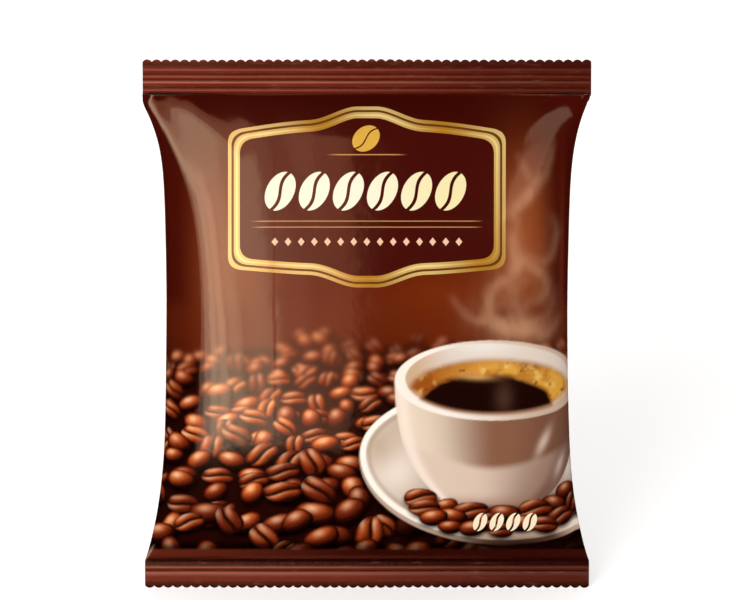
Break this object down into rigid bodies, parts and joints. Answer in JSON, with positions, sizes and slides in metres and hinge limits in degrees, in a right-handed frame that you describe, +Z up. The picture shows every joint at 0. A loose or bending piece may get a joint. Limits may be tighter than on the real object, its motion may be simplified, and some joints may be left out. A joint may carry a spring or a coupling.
{
  "type": "filled pillow pouch",
  "caption": "Filled pillow pouch of ground coffee with a bulged printed front, a fin seal down the back and crimped, zigzag-cut end seals that fold.",
  "frame": {"origin": "middle of the base, at the level of the bottom cut edge", "axes": "+Z up from the bottom seal to the top seal, -Y out of the printed front, +X to the right seen from the front"},
  "size_m": [0.15, 0.041, 0.2],
  "materials": {
    "printed_film": "gloss-laminated printed film",
    "metallised_film": "metallised inner face of the laminate",
    "crimped_film": "heat-sealed and crimped, satin gloss",
    "ground_coffee": "matte granules"
  },
  "bodies": {
    "pouch": {"front_panel": "printed_film", "back_panel_left": "printed_film", "back_panel_right": "printed_film", "fin_seal_inner_ply": "metallised_film", "fin_seal_outer_ply": "printed_film", "coffee_fill": "ground_coffee"},
    "top_seal": {"top_seal_front_ply": "crimped_film", "top_seal_back_ply": "crimped_film"},
    "bottom_seal": {"bottom_seal_front_ply": "crimped_film", "bottom_seal_back_ply": "crimped_film"}
  },
  "joints": [
    {"name": "top_seal_fold", "type": "hinge", "parent": "pouch", "child": "top_seal", "pos_m": [0, 0, 0.187], "axis": [1, 0, 0], "range_deg": [-75, 75], "stiffness_Nm_per_rad": 0.004},
    {"name": "bottom_seal_fold", "type": "hinge", "parent": "pouch", "child": "bottom_seal", "pos_m": [0, 0, 0.0102], "axis": [-1, 0, 0], "range_deg": [-75, 75], "stiffness_Nm_per_rad": 0.004}
  ]
}
